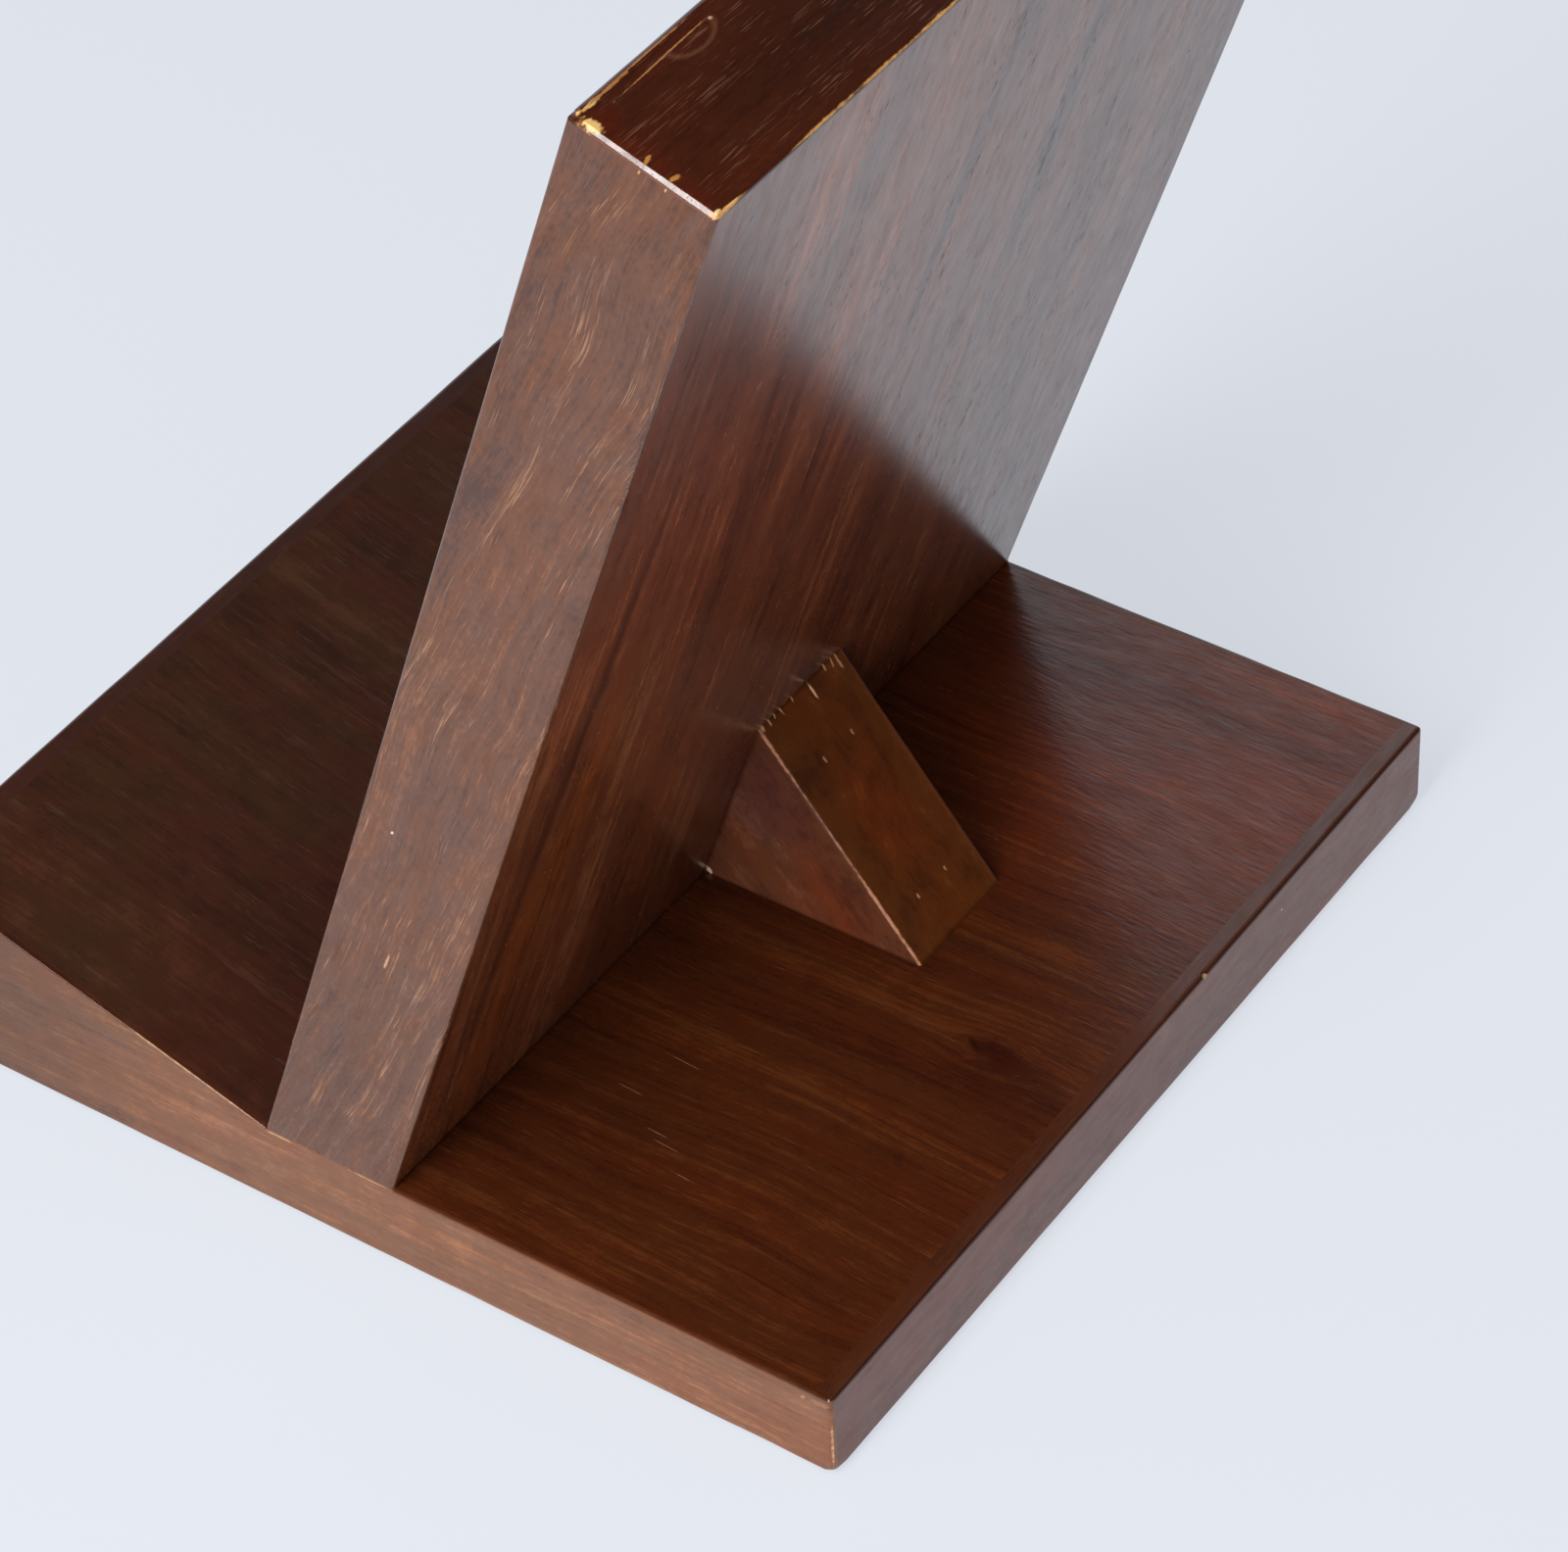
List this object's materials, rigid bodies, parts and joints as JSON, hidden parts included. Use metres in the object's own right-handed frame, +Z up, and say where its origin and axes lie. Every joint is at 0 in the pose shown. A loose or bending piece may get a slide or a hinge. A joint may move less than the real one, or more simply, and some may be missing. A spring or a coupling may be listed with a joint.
{
  "type": "vinyl record stand",
  "caption": "Square wooden base with a sloping ramp and a thick panel that leans back, braced by a triangular block, to hold record sleeves upright.",
  "frame": {"origin": "centre of the footprint, on the surface that the pads rest on", "axes": "+Z up, -Y towards the front edge where the sleeves stand, +X to the right seen from the front"},
  "size_m": [0.19, 0.19, 0.2598],
  "materials": {
    "walnut_face": "walnut veneer, stained red-brown, satin lacquer",
    "walnut_edge": "walnut edge band and lipping, stained red-brown, satin lacquer, rubbed arrises",
    "walnut_block": "solid walnut, stained, satin lacquer",
    "core_board": "fine pressed board, raw",
    "dowel_beech": "beech, raw",
    "fixing_steel": "zinc plated",
    "pad_felt": "dark brown felt"
  },
  "bodies": {
    "root": {"base_core": "core_board", "base_top_veneer": "walnut_face", "base_underside_veneer": "walnut_face", "base_rear_lipping": "walnut_edge", "base_front_lipping": "walnut_edge", "base_left_edge_band": "walnut_edge", "base_right_edge_band": "walnut_edge", "ramp_wedge": "core_board", "ramp_veneer": "walnut_face", "panel_core": "core_board", "panel_back_veneer": "walnut_face", "panel_front_veneer": "walnut_face", "panel_left_edge_band": "walnut_edge", "panel_right_edge_band": "walnut_edge", "panel_top_edge_band": "walnut_edge", "support_block": "walnut_block", "block_brads": "fixing_steel", "panel_screws": "fixing_steel", "panel_dowels": "dowel_beech", "foot_pads": "pad_felt"}
  },
  "joints": []
}
